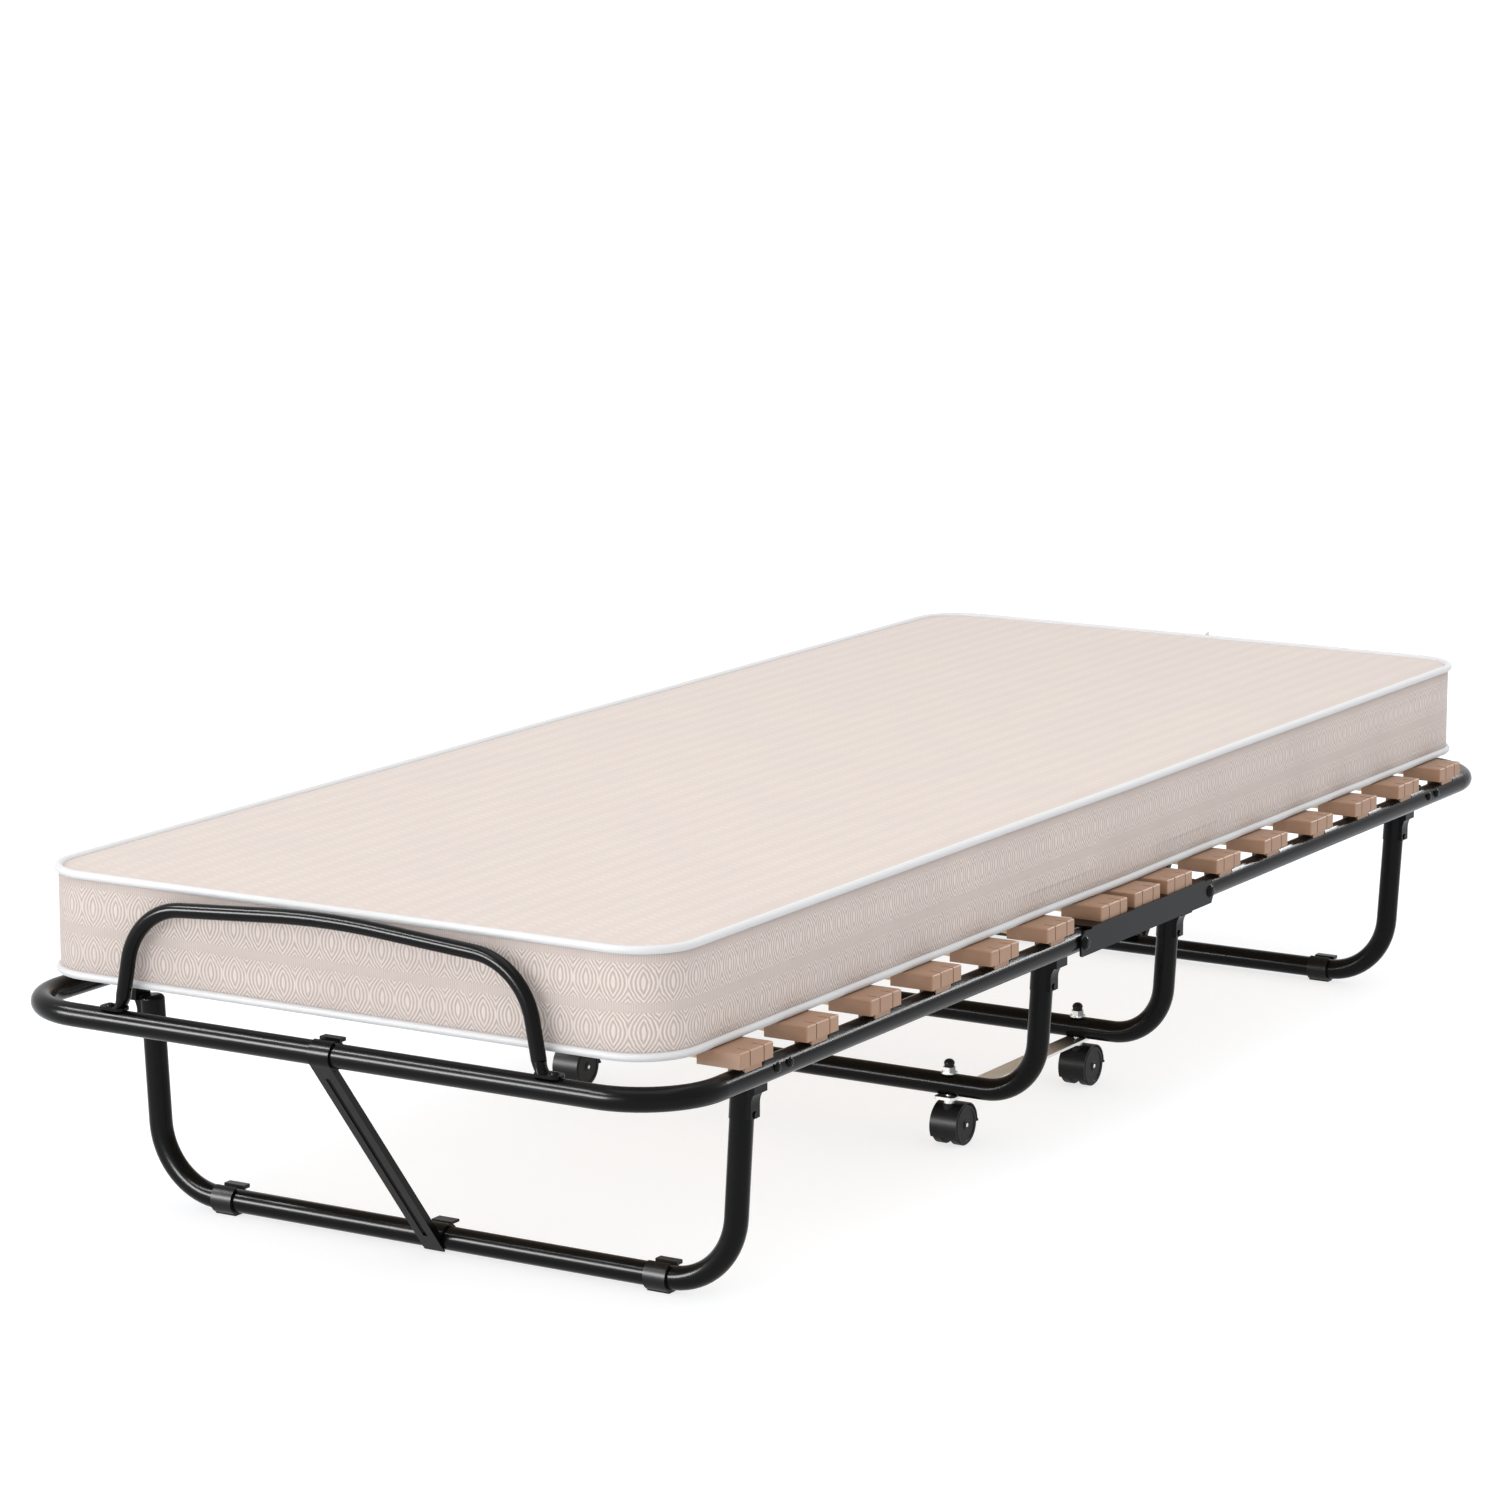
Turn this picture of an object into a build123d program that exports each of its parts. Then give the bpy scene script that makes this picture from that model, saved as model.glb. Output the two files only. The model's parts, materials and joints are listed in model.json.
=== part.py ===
from build123d import *
import os
from math import atan2, cos, degrees, hypot, radians, sin

# Rollaway bed, open on the floor. Millimetres, +Z up.
# X runs across the bed, Y along it, and the origin is on the floor under the middle.
# The near end is at -Y. Far pieces are the near ones mirrored in the XZ plane.

# ---------------------------------------------------------------- driving dimensions
LENGTH = 1905.0              # outside of one end rail to outside of the other
RAIL_SPACING = 775.0         # side rail centre to side rail centre
RAIL_Z = 241.0               # height of the rail centre line
TUBE_R = 12.0                # main tube, outside radius
TUBE_WALL = 1.5
RAIL_CORNER_R = 82.0
HINGE_Y = 148.0              # fold hinge, from the middle of the bed
RAIL_OVERRUN = 35.0          # rail length past its hinge bolt

SLAT_WIDTH = 50.0
SLAT_THICKNESS = 8.0
SLAT_BOW = 2.5               # rise of the slat at mid span
SECTION_SLATS = 6
SLAT_INNER_Y = 199.0         # section slat nearest to the hinge
SLAT_PITCH = 122.0
CENTRE_PITCH = 77.5
CAP_LENGTH = 48.0
CAP_WIDTH = 60.0
CAP_HEIGHT = 15.5
CAP_OUTER_X = 400.0
CAP_Z = RAIL_Z + TUBE_R + 3.0

MATTRESS_WIDTH = 742.0
MATTRESS_LENGTH = 1852.0
MATTRESS_HEIGHT = 110.0
MATTRESS_CORNER_R = 62.0
MATTRESS_GAP = 0.5           # above the slat caps
MATTRESS_FOLD_Y = 291.0      # where an end block stops, clear of the fold

END_LEG_Y = 756.0
END_LEG_PIVOT_Z = 233.0
LEG_TOP_X = 351.6            # centre of each leg's upright, at LEG_TOP_Z
LEG_SPLAY = 0.058            # sideways run of an upright for each mm of rise
END_LEG_FOOT_Z = 15.0        # centre of the crossbar near the floor
LEG_CORNER_R = 75.0
CASTER_BAR_Z = 68.0
CASTER_CORNER_R = 62.0

BOLT_R = 4.0
RIVET_R = 3.0
SHAFT_CLEARANCE = 0.06
CLIP_WALL = 3.0

RETAINER_R = 7.5
RETAINER_WALL = 1.2
RETAINER_HALF = 243.0
RETAINER_SHOULDER_X = 226.0
RETAINER_SHOULDER_Z = 357.5
RETAINER_PEAK_Z = 373.6
RETAINER_BEND_R = 70.0
RETAINER_CROWN_R = 900.0

PLATE_T = 2.5                # hinge plate, an angle section
PLATE_OVERHANG = 9.5         # plate length past the hinge bolt
PLATE_BOTTOM_Z = RAIL_Z - 13.5
FLANGE_WIDTH = 37.5
FLANGE_START = 14.0          # from the hinge bolt towards the middle

CASTER_X = 241.0
CASTER_TRAIL = 10.0
WHEEL_R = 22.5
WHEEL_WIDTH = 11.5
WHEEL_GAP = 9.6              # between the two wheels
HOOD_R = 24.5
HOOD_WALL = 1.6
STRIP_T = 3.0
STRIP_WIDTH = 24.0

# ---------------------------------------------------------------- worked out
RAIL_X = RAIL_SPACING / 2
RAIL_END_Y = LENGTH / 2 - TUBE_R
RAIL_OUTER_X = RAIL_X + TUBE_R
RAIL_INNER_X = RAIL_X - TUBE_R
PLATE_X = RAIL_OUTER_X + 0.5            # inner face of the plate's web
PLATE_TOP_Z = CAP_Z
MATTRESS_Z = CAP_Z + CAP_HEIGHT + MATTRESS_GAP
STRIP_TOP_Z = CASTER_BAR_Z - TUBE_R
HOOD_TOP_Z = WHEEL_R + HOOD_R
EAR_T = 8.0                             # flattened tube end
LEG_TOP_Z = 198.0
HEAD_Z = 185.0                          # lower end of the sleeve on a leg's top
HEAD_TOP_Z = 218.0
HEAD_R = TUBE_R + 0.7
STRAP_HALF = 8.5


def box(x, y, z):
    """Box from three (low, high) pairs."""
    size = [high - low for low, high in (x, y, z)]
    middle = [(high + low) / 2 for low, high in (x, y, z)]
    return Pos(*middle) * Box(*size)


def rod_x(x0, x1, y, z, radius):
    """Cylinder along X."""
    return Pos((x0 + x1) / 2, y, z) * Rot(0, 90, 0) * Cylinder(radius, x1 - x0)


def rod_z(x, y, z0, z1, radius):
    """Cylinder along Z."""
    return Pos(x, y, (z0 + z1) / 2) * Cylinder(radius, z1 - z0)


def round_bar(points, radii, radius):
    """Solid round bar along a path of straight runs and tangent bends."""
    path = FilletPolyline(*points, radius=radii)
    start = Plane(origin=path @ 0, z_dir=path % 0)
    return sweep(start * Circle(radius), path=path)


def tube(points, radii, radius, wall):
    return round_bar(points, radii, radius) - round_bar(points, radii, radius - wall)


def both_sides(shape):
    """The shape and its mirror image in the YZ plane."""
    return [shape, mirror(shape, about=Plane.YZ)]


def far(shape):
    """The far end's copy of a near piece."""
    return mirror(shape, about=Plane.XZ)


def headed_pin(shank_r, shank_length, head_r, head_height):
    """Round pin below the XY plane, with a domed head above it."""
    flat_r = head_r * 0.25
    outline = [
        Line((0, -shank_length), (shank_r, -shank_length)),
        Line((shank_r, -shank_length), (shank_r, 0)),
        Line((shank_r, 0), (head_r, 0)),
        ThreePointArc((head_r, 0), (head_r * 0.78, head_height * 0.66), (flat_r, head_height)),
        Line((flat_r, head_height), (0, head_height)),
        Line((0, head_height), (0, -shank_length)),
    ]
    return revolve(Plane.XZ * make_face(outline), Axis.Z)


def headed_pin_x(x_end, x_face, y, z, shank_r, head_r, head_height):
    """Pin along X from x_end to its head, which sits on the face at x_face."""
    pin = headed_pin(shank_r, x_face - x_end, head_r, head_height)
    return Pos(x_face, y, z) * Rot(0, 90, 0) * pin


def headed_pin_z(x, y, z_end, z_face, shank_r, head_r, head_height):
    """Pin along Z from z_end to its head, which sits on the face at z_face."""
    return Pos(x, y, z_face) * headed_pin(shank_r, z_face - z_end, head_r, head_height)


# ---------------------------------------------------------------- section frames
BRACKET_RIVETS = [(-END_LEG_Y + 8.0, RAIL_Z + 3.0), (-END_LEG_Y - 15.0, RAIL_Z + 3.0)]
SECTION_SLAT_YS = [-(SLAT_INNER_Y + i * SLAT_PITCH) for i in range(SECTION_SLATS)]
CENTRE_SLAT_YS = [-CENTRE_PITCH, 0.0, CENTRE_PITCH]
PEG_X = 385.0
PEG_R = 3.5
RETAINER_RIVET_X = 260.0


def section_frame():
    """U of round tube, with the holes for its hinge bolts, slat caps and rivets."""
    inner_y = -HINGE_Y + RAIL_OVERRUN
    corners = [
        (-RAIL_X, inner_y, RAIL_Z), (-RAIL_X, -RAIL_END_Y, RAIL_Z),
        (RAIL_X, -RAIL_END_Y, RAIL_Z), (RAIL_X, inner_y, RAIL_Z),
    ]
    frame = tube(corners, RAIL_CORNER_R, TUBE_R, TUBE_WALL)
    cuts = []
    cuts += both_sides(rod_x(360, 420, -HINGE_Y, RAIL_Z, BOLT_R + SHAFT_CLEARANCE))
    for y, z in BRACKET_RIVETS:
        cuts += both_sides(rod_x(360, 420, y, z, RIVET_R + 0.05))
    for y in SECTION_SLAT_YS:
        cuts += both_sides(rod_z(PEG_X, y, RAIL_Z, RAIL_Z + 20, PEG_R + 0.1))
    cuts += both_sides(rod_z(RETAINER_RIVET_X, -RAIL_END_Y, RAIL_Z, RAIL_Z + 20, RIVET_R + 0.05))
    return frame - cuts


def rail_plugs():
    """Round plastic plugs in the open ends of the side rails."""
    end_y = -HINGE_Y + RAIL_OVERRUN
    stem_r = TUBE_R - TUBE_WALL - 0.1
    stem = Pos(RAIL_X, end_y - 7.0, RAIL_Z) * Rot(90, 0, 0) * Cylinder(stem_r, 14.0)
    head = Pos(RAIL_X, end_y + 1.5, RAIL_Z) * Rot(90, 0, 0) * Cylinder(TUBE_R, 3.0)
    rim = head.edges().filter_by(GeomType.CIRCLE).sort_by(Axis.Y)[-1]
    plug = stem + fillet(rim, 2.0)
    return both_sides(plug)


# ---------------------------------------------------------------- slats and their caps
def slat(y):
    """Bowed wooden strip with straight ends that sit in the caps."""
    end_x = CAP_OUTER_X - 6.0
    bend_x = CAP_OUTER_X - CAP_LENGTH - 2.0
    z0 = CAP_Z + (CAP_HEIGHT - SLAT_THICKNESS) / 2
    z1 = z0 + SLAT_THICKNESS
    outline = [
        Line((-end_x, z0), (-bend_x, z0)),
        ThreePointArc((-bend_x, z0), (0, z0 + SLAT_BOW), (bend_x, z0)),
        Line((bend_x, z0), (end_x, z0)),
        Line((end_x, z0), (end_x, z1)),
        Line((end_x, z1), (bend_x, z1)),
        ThreePointArc((bend_x, z1), (0, z1 + SLAT_BOW), (-bend_x, z1)),
        Line((-bend_x, z1), (-end_x, z1)),
        Line((-end_x, z1), (-end_x, z0)),
    ]
    face = make_face(outline)
    strip = extrude(Plane.XZ * face, SLAT_WIDTH / 2, both=True)
    long_edges = strip.edges().filter_by(Axis.X) + strip.edges().filter_by(GeomType.CIRCLE)
    strip = fillet(long_edges, 1.2)
    return Pos(0, y, 0) * strip


def slat_cap(y, on_rail):
    """Moulded end cap: a sleeve with two grooves, and a foot that sits on the rail."""
    x1 = CAP_OUTER_X
    x0 = x1 - CAP_LENGTH
    z1 = CAP_Z + CAP_HEIGHT
    half = CAP_WIDTH / 2
    body = box((x0, x1), (y - half, y + half), (CAP_Z, z1))
    outer_edges = body.edges().filter_by(Axis.Z).sort_by(Axis.X)[-2:]
    top_edges = body.edges().group_by(Axis.Z)[-1]
    body = chamfer(outer_edges + top_edges, 1.0)
    for offset in (-CAP_WIDTH * 0.21, CAP_WIDTH * 0.21):
        groove_y = y + offset
        body -= box((x1 - 3.0, x1 + 1), (groove_y - 0.8, groove_y + 0.8), (CAP_Z - 1, z1 + 1))
        body -= box((x1 - 14.0, x1 + 1), (groove_y - 0.8, groove_y + 0.8), (z1 - 1.2, z1 + 1))
    pocket_half = SLAT_WIDTH / 2 + 0.3
    slat_z = CAP_Z + (CAP_HEIGHT - SLAT_THICKNESS) / 2
    body -= box((x0 - 1, x1 - 5.5), (y - pocket_half, y + pocket_half),
                (slat_z - 0.25, slat_z + SLAT_THICKNESS + 0.25))
    peg_bottom = RAIL_Z + TUBE_R - 6.0
    if on_rail:
        foot = box((PEG_X - 8, PEG_X + 11), (y - 15, y + 15), (RAIL_Z + 6, CAP_Z))
        rail = Pos(RAIL_X, y, RAIL_Z) * Rot(90, 0, 0) * Cylinder(TUBE_R + 0.05, 40)
        body += foot - rail
    body += rod_z(PEG_X, y, peg_bottom, CAP_Z + 1.0, PEG_R)
    return body


def slat_caps(ys, on_rail):
    return [cap for y in ys for cap in both_sides(slat_cap(y, on_rail))]


# ---------------------------------------------------------------- mattress
def mattress_block(y0, y1, rounded):
    half = MATTRESS_WIDTH / 2
    block = box((-half, half), (y0, y1), (MATTRESS_Z, MATTRESS_Z + MATTRESS_HEIGHT))
    if rounded:
        corners = block.edges().filter_by(Axis.Z).sort_by(Axis.Y)[:2]
        block = fillet(corners, MATTRESS_CORNER_R)
    return block


# ---------------------------------------------------------------- retainer bars
def retainer_path_z(x):
    """Rough height of the bar's crown, used to seat the lock clip."""
    slope = (RETAINER_PEAK_Z - RETAINER_SHOULDER_Z) / RETAINER_SHOULDER_X
    drop = RETAINER_CROWN_R * ((1 + slope ** 2) ** 0.5 - 1)
    return RETAINER_PEAK_Z - drop


def retainer():
    """Arch of small tube on the end rail, with flattened feet turned outwards."""
    y = -RAIL_END_Y
    foot_z = RAIL_Z + TUBE_R + 0.1
    start_z = foot_z + 14.0
    points = [
        (-RETAINER_HALF, y, start_z), (-RETAINER_SHOULDER_X, y, RETAINER_SHOULDER_Z),
        (0, y, RETAINER_PEAK_Z), (RETAINER_SHOULDER_X, y, RETAINER_SHOULDER_Z),
        (RETAINER_HALF, y, start_z),
    ]
    radii = [RETAINER_BEND_R, RETAINER_CROWN_R, RETAINER_BEND_R]
    arch = tube(points, radii, RETAINER_R, RETAINER_WALL)
    feet = []
    for sign in (1, -1):
        top = Plane(origin=(sign * RETAINER_HALF, y, start_z), x_dir=(1, 0, 0), z_dir=(0, 0, 1))
        neck = loft([
            top * Circle(RETAINER_R),
            Pos(sign * 1.5, 0, 0) * top.offset(-6.0) * Ellipse(6.0, 8.2),
            Pos(sign * 5.0, 0, 0) * top.offset(-12.0) * Ellipse(5.0, 9.0),
        ])
        pad = box((RETAINER_HALF - 3, RETAINER_RIVET_X + 9), (y - 9, y + 9), (foot_z, foot_z + 3.2))
        pad = fillet(pad.edges().filter_by(Axis.Z), 7.0)
        pad -= rod_z(RETAINER_RIVET_X, y, foot_z - 1, foot_z + 5, RIVET_R + 0.05)
        feet += [neck, pad if sign > 0 else mirror(pad, about=Plane.YZ)]
    vent = Pos(RETAINER_HALF - 7.0, y, start_z + 8.0) * Rot(0, 90, 0) * Cylinder(1.5, 8.0)
    return arch + feet - both_sides(vent)


# ---------------------------------------------------------------- legs
def leg_x(z):
    """Centre of an upright at height z; the two uprights close in towards the floor."""
    return LEG_TOP_X - (LEG_TOP_Z - z) * LEG_SPLAY


def leg_head(ear_x, pivot_z):
    """Sleeve on an upright, with a strap that sweeps outwards into the pivot ear."""
    along = Plane(origin=(leg_x(HEAD_Z), 0, HEAD_Z), x_dir=(1, 0, -LEG_SPLAY), z_dir=(LEG_SPLAY, 0, 1))
    height = HEAD_TOP_Z - HEAD_Z
    sleeve = Pos(0, 0, height / 2) * Cylinder(HEAD_R, height)
    sleeve = along * fillet(sleeve.edges().group_by(Axis.Z)[-1], 5.0)
    face = LEG_TOP_X + HEAD_R + 1.7
    outside = ear_x + EAR_T / 2
    low, bend, high = HEAD_Z + 1.0, LEG_TOP_Z + 2.0, HEAD_TOP_Z - 1.0
    edge = Polyline((outside, high - 2), (outside, high), (LEG_TOP_X, high), (LEG_TOP_X, low),
                    (face, low), (face, bend))
    curve = ThreePointArc((face, bend), (face * 0.6 + outside * 0.4, (bend + high) / 2 + 1.5),
                          (outside, high - 2))
    strap = extrude(Plane.XZ * make_face(edge + curve), STRAP_HALF, both=True)
    ear_r = 12.0
    ear = box((ear_x - EAR_T / 2, outside), (-ear_r, ear_r), (high - 5, pivot_z))
    ear += rod_x(ear_x - EAR_T / 2, outside, 0, pivot_z, ear_r)
    stud = rod_x(face - 1, face + 1.4, 0, HEAD_Z + 4.8, 3.4)
    return sleeve + strap + ear + stud


def u_leg(y, bar_z, corner_r, ear_x, pivot_z):
    """Leg of one bent tube: two uprights, each with a sleeve on top, and a crossbar."""
    top_z = HEAD_Z + 6
    top_x, foot_x = leg_x(top_z), leg_x(bar_z)
    points = [(-top_x, 0, top_z), (-foot_x, 0, bar_z), (foot_x, 0, bar_z), (top_x, 0, top_z)]
    leg = tube(points, corner_r, TUBE_R, TUBE_WALL)
    leg += both_sides(leg_head(ear_x, pivot_z))
    leg -= both_sides(rod_x(ear_x - 20, ear_x + 20, 0, pivot_z, BOLT_R + SHAFT_CLEARANCE))
    vent_z = HEAD_Z - 9
    leg -= both_sides(rod_x(leg_x(vent_z) - 20, leg_x(vent_z), 0, vent_z, 2.5))
    return Pos(0, y, 0) * leg


BRACKET_T = 3.0
END_EAR_X = RAIL_INNER_X - BRACKET_T - 0.3 - EAR_T / 2


def end_leg():
    return u_leg(-END_LEG_Y, END_LEG_FOOT_Z, LEG_CORNER_R, END_EAR_X, END_LEG_PIVOT_Z)


def leg_brackets():
    """Plates inside the rails that carry the end leg's pivots."""
    plate = box((RAIL_INNER_X - BRACKET_T, RAIL_INNER_X), (-END_LEG_Y - 24, -END_LEG_Y + 18),
                (END_LEG_PIVOT_Z - 8, RAIL_Z + 10))
    plate = fillet(plate.edges().filter_by(Axis.X), 5.0)
    for y, z in BRACKET_RIVETS:
        plate -= rod_x(360, 380, y, z, RIVET_R + 0.05)
    plate -= rod_x(360, 380, -END_LEG_Y, END_LEG_PIVOT_Z, BOLT_R + 0.05)
    return both_sides(plate)


def leg_pivots():
    """Pins that the end leg turns on, headed on the inside."""
    inner_x = END_EAR_X - EAR_T / 2 - 0.3
    y, z = -END_LEG_Y, END_LEG_PIVOT_Z
    pin = rod_x(inner_x - 2.5, RAIL_INNER_X, y, z, BOLT_R)
    pin += rod_x(inner_x - 2.5, inner_x, y, z, 7.5)
    return both_sides(pin)


def section_rivets():
    """Rivets of one section: four through the rails, and two in the retainer's feet."""
    rivets = []
    for y, z in BRACKET_RIVETS:
        rivets += both_sides(headed_pin_x(RAIL_INNER_X - BRACKET_T, RAIL_OUTER_X + 0.1, y, z,
                                          RIVET_R, 5.5, 2.6))
    pad_top = RAIL_Z + TUBE_R + 3.3
    rivets += both_sides(headed_pin_z(RETAINER_RIVET_X, -RAIL_END_Y, RAIL_Z + 6, pad_top,
                                      RIVET_R, 5.0, 2.4))
    return rivets


FOOT_CLIP_X = 260.0
CLIP_WIDTH = 25.0
CLIP_LIP = 19.0


def foot_clips(y):
    """Plastic rings on the crossbar that the end stands on, open on top, with a lip behind."""
    z = END_LEG_FOOT_Z
    x0, x1 = FOOT_CLIP_X - CLIP_WIDTH / 2, FOOT_CLIP_X + CLIP_WIDTH / 2
    outer_r = TUBE_R + CLIP_WALL
    clip = rod_x(x0, x1, y, z, outer_r)
    clip += box((x0, x1), (y - 6, y + 6), (z - outer_r, z))
    clip -= box((x0 - 1, x1 + 1), (y - 3, y + 9), (z + 5, z + 20))
    clip += box((x0, x1), (y + 9, y + CLIP_LIP), (z + 9.5, z + 13.5))
    clip -= rod_x(x0 - 1, x1 + 1, y, z, TUBE_R + 0.05)
    return both_sides(clip)


# ---------------------------------------------------------------- braces
BRACE_DY = RAIL_END_Y - END_LEG_Y
BRACE_DZ = END_LEG_FOOT_Z - RAIL_Z
BRACE_LENGTH = hypot(BRACE_DY, BRACE_DZ)
BRACE_ANGLE = degrees(atan2(BRACE_DZ, BRACE_DY))
BRACE_HALF = 12.0
BRACE_T = 2.0
COLLAR_OUTER_R = TUBE_R + 2.6
HOOK_R = TUBE_R + 0.5


def brace_local():
    """Brace laid along +Y from the rail's axis; +Z is the side that faces the bed."""
    x = (-BRACE_HALF, BRACE_HALF)
    front = (-HOOK_R - BRACE_T, -HOOK_R)
    strap = box(x, (0, BRACE_LENGTH + 4), front)
    for side in (-1, 1):
        edge = side * (BRACE_HALF - BRACE_T / 2)
        wall = (edge - BRACE_T / 2, edge + BRACE_T / 2)
        strap += box(wall, (TUBE_R - 2, BRACE_LENGTH - TUBE_R), (front[0], front[0] + 7.5))
    rib_r = 2.6
    rib_len = BRACE_LENGTH - 2 * TUBE_R - 16
    rib = Pos(0, BRACE_LENGTH / 2, front[0]) * Rot(90, 0, 0) * Cylinder(rib_r, rib_len)
    backing = Pos(0, BRACE_LENGTH / 2, front[0]) * Rot(90, 0, 0) * Cylinder(rib_r + 1.6, rib_len + 3)
    backing &= box(x, (0, BRACE_LENGTH), (front[0] + 0.1, front[0] + 8))
    strap = strap + backing - rib
    collar = rod_x(-BRACE_HALF, BRACE_HALF, 0, 0, COLLAR_OUTER_R)
    hook = rod_x(-BRACE_HALF, BRACE_HALF, BRACE_LENGTH, 0, HOOK_R + BRACE_T)
    hook &= box((-20, 20), (BRACE_LENGTH - 20, BRACE_LENGTH), (-20, 20))
    hook += box(x, (BRACE_LENGTH, BRACE_LENGTH + 4), (HOOK_R, HOOK_R + BRACE_T))
    tail = box(x, (0, 31), (HOOK_R, HOOK_R + BRACE_T))
    brace = strap + collar + hook + tail
    brace -= rod_x(-20, 20, 0, 0, TUBE_R + SHAFT_CLEARANCE)
    mouth = rod_x(-20, 20, BRACE_LENGTH, 0, HOOK_R)
    mouth += box((-20, 20), (BRACE_LENGTH, BRACE_LENGTH + 10), (-HOOK_R, HOOK_R))
    return brace - mouth


def brace():
    arm = Pos(0, -RAIL_END_Y, RAIL_Z) * Rot(BRACE_ANGLE, 0, 0) * brace_local()
    y, z = -RAIL_END_Y, RAIL_Z
    arm -= box((-20, 20), (y - 2, y + 6), (z + 8, z + 20))
    top_lip = box((-BRACE_HALF, BRACE_HALF), (y + 6, y + 16), (z + TUBE_R - 0.5, z + COLLAR_OUTER_R + 0.6))
    top_lip -= rod_x(-20, 20, y, z, TUBE_R + SHAFT_CLEARANCE)
    y, z = -END_LEG_Y, END_LEG_FOOT_Z
    tip_z = z + HOOK_R
    hook_lip = box((-BRACE_HALF, BRACE_HALF), (y + 4, y + 18), (tip_z + 0.2, tip_z + 2.8))
    return arm + top_lip + hook_lip


# ---------------------------------------------------------------- centre section
CENTRE_EAR_X = RAIL_INNER_X - 0.6 - EAR_T / 2


def hinge_plate():
    """Angle along the right side: the web carries the hinge bolts, the flange the slats."""
    end_y = HINGE_Y + PLATE_OVERHANG
    chamfer_len = 11.0
    outline = Polyline(
        (-end_y, PLATE_BOTTOM_Z + 2), (-end_y + 2, PLATE_BOTTOM_Z),
        (end_y - chamfer_len * 0.6, PLATE_BOTTOM_Z), (end_y, PLATE_BOTTOM_Z + chamfer_len),
        (end_y, PLATE_TOP_Z - 8), (end_y - 8, PLATE_TOP_Z - 2),
        (HINGE_Y - FLANGE_START, PLATE_TOP_Z - 2), (HINGE_Y - FLANGE_START, PLATE_TOP_Z),
        (-HINGE_Y + FLANGE_START, PLATE_TOP_Z), (-HINGE_Y + FLANGE_START, PLATE_TOP_Z - 2),
        (-end_y + 8, PLATE_TOP_Z - 2), (-end_y, PLATE_TOP_Z - 8), close=True)
    web = extrude(Plane.YZ * make_face(outline), PLATE_T)
    plate = Pos(PLATE_X, 0, 0) * web
    flange_x0 = PLATE_X + PLATE_T - FLANGE_WIDTH
    flange_half = HINGE_Y - FLANGE_START
    plate += box((flange_x0, PLATE_X + 0.5), (-flange_half, flange_half),
                 (PLATE_TOP_Z - PLATE_T, PLATE_TOP_Z))
    for sign in (-1, 1):
        plate -= rod_x(390, 420, sign * HINGE_Y, RAIL_Z, BOLT_R + 0.05)
    for y in CENTRE_SLAT_YS:
        plate -= rod_z(PEG_X, y, PLATE_TOP_Z - 10, PLATE_TOP_Z + 5, PEG_R + 0.1)
    return plate


def hinge_bolt(y):
    """Bolt through the plate, the rail and the caster leg's ear."""
    x0 = CENTRE_EAR_X - EAR_T / 2
    x1 = PLATE_X + PLATE_T
    bolt = headed_pin_x(x0 - 6.0, x1, y, RAIL_Z, BOLT_R, 7.5, 3.6)
    nut = Pos(x0 - 2.6, y, RAIL_Z) * Rot(0, 90, 0) * extrude(RegularPolygon(7.5, 6), 2.5, both=True)
    return bolt + nut


def hinge_bolts():
    return [b for y in (-HINGE_Y, HINGE_Y) for b in both_sides(hinge_bolt(y))]


def caster_leg():
    leg = u_leg(-HINGE_Y, CASTER_BAR_Z, CASTER_CORNER_R, CENTRE_EAR_X, RAIL_Z)
    return leg - both_sides(rod_z(CASTER_X, -HINGE_Y, 40, 100, BOLT_R + 0.05))


def link_strip():
    """Flat bar under the two crossbars, on the right side."""
    end = STRIP_WIDTH / 2
    z = (STRIP_TOP_Z - STRIP_T, STRIP_TOP_Z)
    strip = box((CASTER_X - end, CASTER_X + end), (-HINGE_Y - 14, HINGE_Y + 14), z)
    strip = fillet(strip.edges().filter_by(Axis.Z), 5.0)
    for sign in (-1, 1):
        strip -= rod_z(CASTER_X, sign * HINGE_Y, 40, 100, BOLT_R + 0.05)
    return strip


NUT_Z = CASTER_BAR_Z + TUBE_R
NUT_HEIGHT = 7.0


def caster_stem(x, y):
    """Threaded stem: a collar under the strip, and the pin that the hood turns on."""
    collar_z = HOOD_TOP_Z + 0.2
    stem = rod_z(x, y, STRIP_TOP_Z - STRIP_T - 1, NUT_Z + NUT_HEIGHT, BOLT_R)
    stem += rod_z(x, y, collar_z, STRIP_TOP_Z - STRIP_T, 5.5)
    stem += rod_z(x, y, 27.0, collar_z + 1, 3.0)
    return stem


def caster_nut(x, y):
    washer = rod_z(x, y, NUT_Z, NUT_Z + 1.4, 9.0)
    hexagon = Pos(x, y, NUT_Z + 1.4) * extrude(RegularPolygon(7.5, 6), NUT_HEIGHT - 1.4)
    return washer + hexagon - rod_z(x, y, NUT_Z - 1, NUT_Z + 20, BOLT_R + 0.05)


def nut_cap(x, y):
    """Domed cap over the end of the stem."""
    z = NUT_Z + NUT_HEIGHT + 0.05
    return headed_pin_z(x, y, z, z + 3.5, 5.4, 6.0, 5.0)


CASTER_SPOTS = [(sx * CASTER_X, sy * HINGE_Y) for sy in (-1, 1) for sx in (-1, 1)]


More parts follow.
